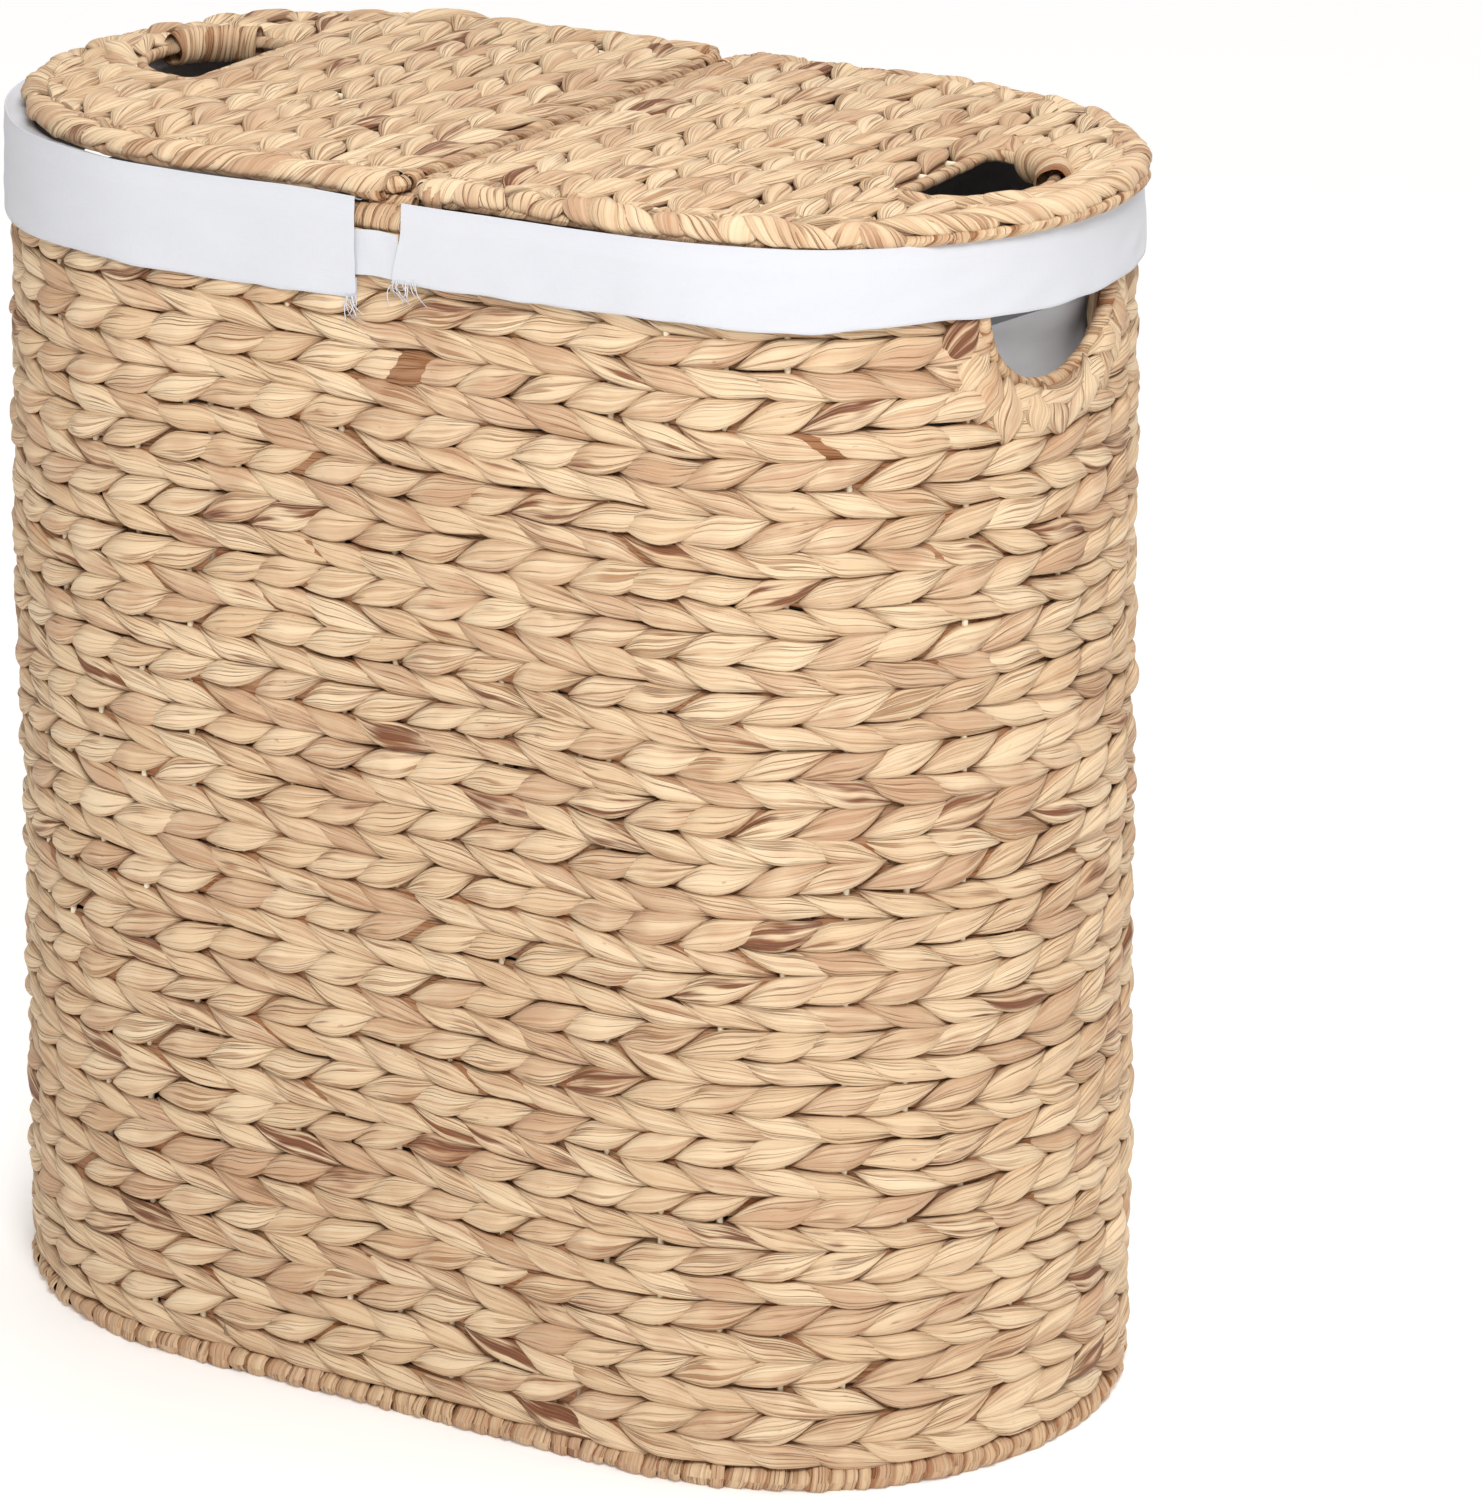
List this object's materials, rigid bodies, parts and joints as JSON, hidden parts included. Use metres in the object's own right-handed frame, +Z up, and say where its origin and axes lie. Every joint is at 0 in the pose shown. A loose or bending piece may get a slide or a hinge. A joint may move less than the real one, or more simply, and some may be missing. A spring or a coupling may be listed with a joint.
{
  "type": "laundry basket",
  "caption": "Tall oval basket of twined leaf over a wire frame, with cloth-lined compartments, hinged lids along a centre line and hand holes in the lids and ends.",
  "frame": {"origin": "on the floor under the middle of the basket's plan", "axes": "+Z up, +X along the basket's length towards the right-hand lid, -Y towards the front"},
  "size_m": [0.5758, 0.322, 0.6046],
  "materials": {
    "woven_leaf": "dry twisted leaf, matte",
    "leaf_wrapping": "flat leaf strip, satin",
    "stakes": "pale cane, matte",
    "liner_cloth": "plain cotton weave",
    "frame_steel": "dull wire"
  },
  "bodies": {
    "basket": {"base_ring": "woven_leaf", "base_wire": "frame_steel", "base_panel": "woven_leaf", "base_stakes": "stakes", "front_wall": "woven_leaf", "back_wall": "woven_leaf", "left_wall": "woven_leaf", "right_wall": "woven_leaf", "front_stakes": "stakes", "back_stakes": "stakes", "left_stakes": "stakes", "right_stakes": "stakes", "frame_uprights": "frame_steel", "rim_wrap": "leaf_wrapping", "rim_wire": "frame_steel", "centre_bar_wrap": "leaf_wrapping", "centre_bar_wire": "frame_steel", "left_hole_wrap": "leaf_wrapping", "left_hole_wire": "frame_steel", "right_hole_wrap": "leaf_wrapping", "right_hole_wire": "frame_steel", "left_liner": "liner_cloth", "right_liner": "liner_cloth", "front_strap": "liner_cloth", "back_strap": "liner_cloth", "left_tie_front": "leaf_wrapping", "left_tie_back": "leaf_wrapping", "right_tie_front": "leaf_wrapping", "right_tie_back": "leaf_wrapping"},
    "left_lid": {"left_lid_wire": "frame_steel", "left_lid_edge": "woven_leaf", "left_lid_rod_wrap": "leaf_wrapping", "left_lid_panel": "woven_leaf", "left_lid_stakes": "stakes", "left_lid_hole_wire": "frame_steel", "left_lid_hole_wrap": "leaf_wrapping", "left_lid_grip": "leaf_wrapping"},
    "right_lid": {"right_lid_wire": "frame_steel", "right_lid_edge": "woven_leaf", "right_lid_rod_wrap": "leaf_wrapping", "right_lid_panel": "woven_leaf", "right_lid_stakes": "stakes", "right_lid_hole_wire": "frame_steel", "right_lid_hole_wrap": "leaf_wrapping", "right_lid_grip": "leaf_wrapping"}
  },
  "joints": [
    {"name": "left_lid_hinge", "type": "hinge", "parent": "basket", "child": "left_lid", "pos_m": [0.001, 0, 0.5956], "axis": [0, 1, 0], "range_deg": [0, 85]},
    {"name": "right_lid_hinge", "type": "hinge", "parent": "basket", "child": "right_lid", "pos_m": [0.013, 0, 0.5956], "axis": [0, -1, 0], "range_deg": [0, 85]}
  ]
}
